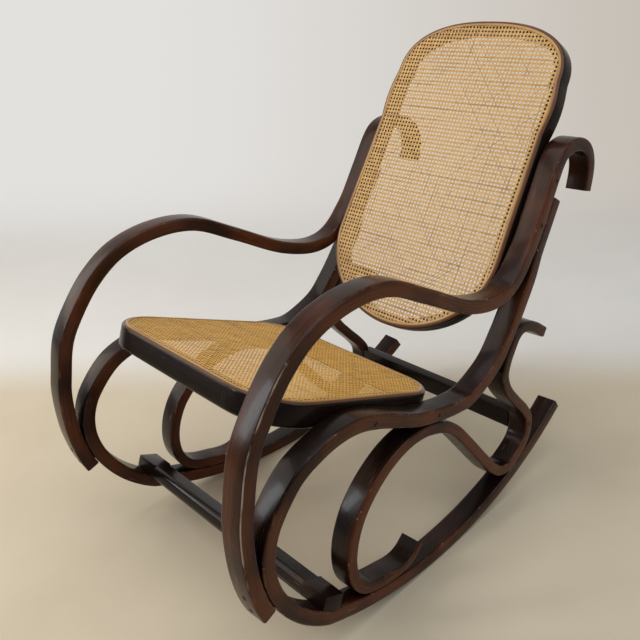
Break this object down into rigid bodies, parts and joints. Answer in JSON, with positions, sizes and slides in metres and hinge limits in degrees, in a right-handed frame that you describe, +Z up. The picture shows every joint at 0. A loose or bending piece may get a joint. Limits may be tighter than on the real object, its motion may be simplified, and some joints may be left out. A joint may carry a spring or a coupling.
{
  "type": "bentwood rocking chair",
  "caption": "Bentwood rocking chair: arched arms, looped scroll braces and curved rockers in each side, with a caned seat and a tall rounded caned back.",
  "frame": {"origin": "on the floor, under the middle of the chair's length and width", "axes": "+Z up, the chair faces -Y, +X to the sitter's left"},
  "size_m": [0.6566, 1.0739, 0.9844],
  "materials": {
    "lacquered_wood": "dark red-brown satin lacquer",
    "woven_cane": "natural woven cane",
    "rattan_spline": "smooth rattan",
    "dark_steel": "dark oxide"
  },
  "bodies": {
    "root": {"arm_foot_screw_low_near": "dark_steel", "arm_foot_screw_high_near": "dark_steel", "post_screw_low_near": "dark_steel", "post_screw_high_near": "dark_steel", "crest_screw_near": "dark_steel", "hook_screw_near": "dark_steel", "bend_screw_near": "dark_steel", "loop_screw_near": "dark_steel", "front_rail_screw_near": "dark_steel", "seat_screw_front_near": "dark_steel", "seat_screw_rear_near": "dark_steel", "back_screw_high_near": "dark_steel", "back_screw_low_near": "dark_steel", "rear_rail_screw_near": "dark_steel", "arm_foot_screw_low_far": "dark_steel", "arm_foot_screw_high_far": "dark_steel", "post_screw_low_far": "dark_steel", "post_screw_high_far": "dark_steel", "crest_screw_far": "dark_steel", "hook_screw_far": "dark_steel", "bend_screw_far": "dark_steel", "loop_screw_far": "dark_steel", "front_rail_screw_far": "dark_steel", "seat_screw_front_far": "dark_steel", "seat_screw_rear_far": "dark_steel", "back_screw_high_far": "dark_steel", "back_screw_low_far": "dark_steel", "rear_rail_screw_far": "dark_steel", "arm_bar_near": "lacquered_wood", "seat_bar_near": "lacquered_wood", "scroll_bar_near": "lacquered_wood", "arm_bar_far": "lacquered_wood", "seat_bar_far": "lacquered_wood", "scroll_bar_far": "lacquered_wood", "seat_frame": "lacquered_wood", "back_frame": "lacquered_wood", "seat_cane": "woven_cane", "back_cane": "woven_cane", "seat_spline": "rattan_spline", "back_spline": "rattan_spline", "front_rail": "lacquered_wood", "rear_rail": "lacquered_wood"}
  },
  "joints": []
}
